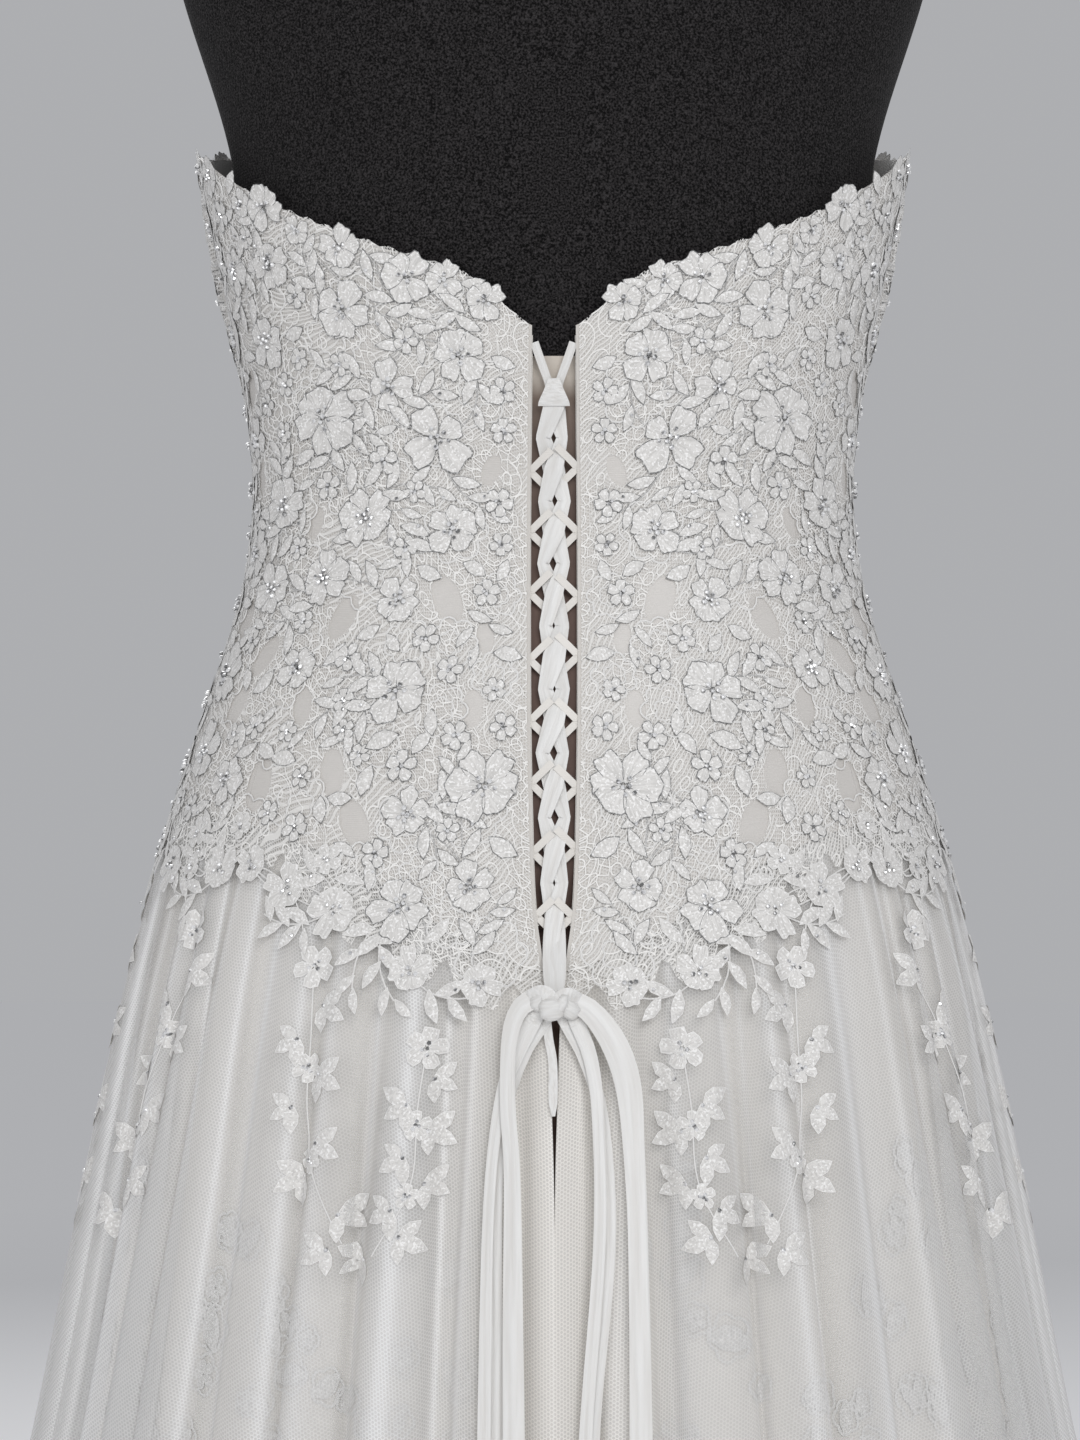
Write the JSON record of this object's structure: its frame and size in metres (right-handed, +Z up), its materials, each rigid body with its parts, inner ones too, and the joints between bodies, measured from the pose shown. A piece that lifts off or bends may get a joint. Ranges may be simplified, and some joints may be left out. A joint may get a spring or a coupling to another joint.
{
  "type": "wedding dress on dress form",
  "caption": "Strapless ivory lace wedding dress, laced down the back over a gathered tulle skirt, on a limbless black dress form with a pole and round foot",
  "frame": {"origin": "middle of the skirt's hem in plan, on the floor", "axes": "+Z up, the dress's front faces -Y, the wearer's left is +X"},
  "size_m": [0.786, 0.766, 1.526],
  "materials": {
    "ivory_satin": "satin, soft sheen",
    "ivory_tulle": "fine sheer net",
    "ivory_lace": "corded floral lace on net",
    "ribbon_satin": "flat satin ribbon",
    "nude_mesh": "sheer mesh over the dark form",
    "black_jersey": "matt woven jersey",
    "black_metal": "black satin paint"
  },
  "bodies": {
    "root": {"bodice_back_left": "ivory_satin", "bodice_back_right": "ivory_satin", "bodice_side_back_left": "ivory_satin", "bodice_side_back_right": "ivory_satin", "bodice_cup_left": "ivory_satin", "bodice_cup_right": "ivory_satin", "bodice_center_front": "ivory_satin", "loop_tape_left": "ivory_satin", "loop_tape_right": "ivory_satin", "underskirt_back_left": "ivory_satin", "underskirt_back_right": "ivory_satin", "underskirt_front": "ivory_satin", "skirt_tulle_back_left": "ivory_tulle", "skirt_tulle_back_right": "ivory_tulle", "skirt_tulle_front": "ivory_tulle", "lace_back_left": "ivory_lace", "lace_back_right": "ivory_lace", "lace_front": "ivory_lace", "spray_a_left": "ivory_lace", "spray_a_right": "ivory_lace", "spray_b_left": "ivory_lace", "spray_b_right": "ivory_lace", "spray_c_left": "ivory_lace", "spray_c_right": "ivory_lace", "spray_d_left": "ivory_lace", "spray_d_right": "ivory_lace", "spray_e_left": "ivory_lace", "spray_e_right": "ivory_lace", "spray_f_left": "ivory_lace", "spray_f_right": "ivory_lace", "lacing_left": "ribbon_satin", "lacing_right": "ribbon_satin", "bow_knot": "ribbon_satin", "bow_loop_left": "ribbon_satin", "bow_loop_right": "ribbon_satin", "tail_left": "ribbon_satin", "tail_right": "ribbon_satin", "modesty_panel": "nude_mesh", "form_torso": "black_jersey", "form_neck_cap": "black_metal", "form_pole": "black_metal", "form_foot": "black_metal"}
  },
  "joints": []
}
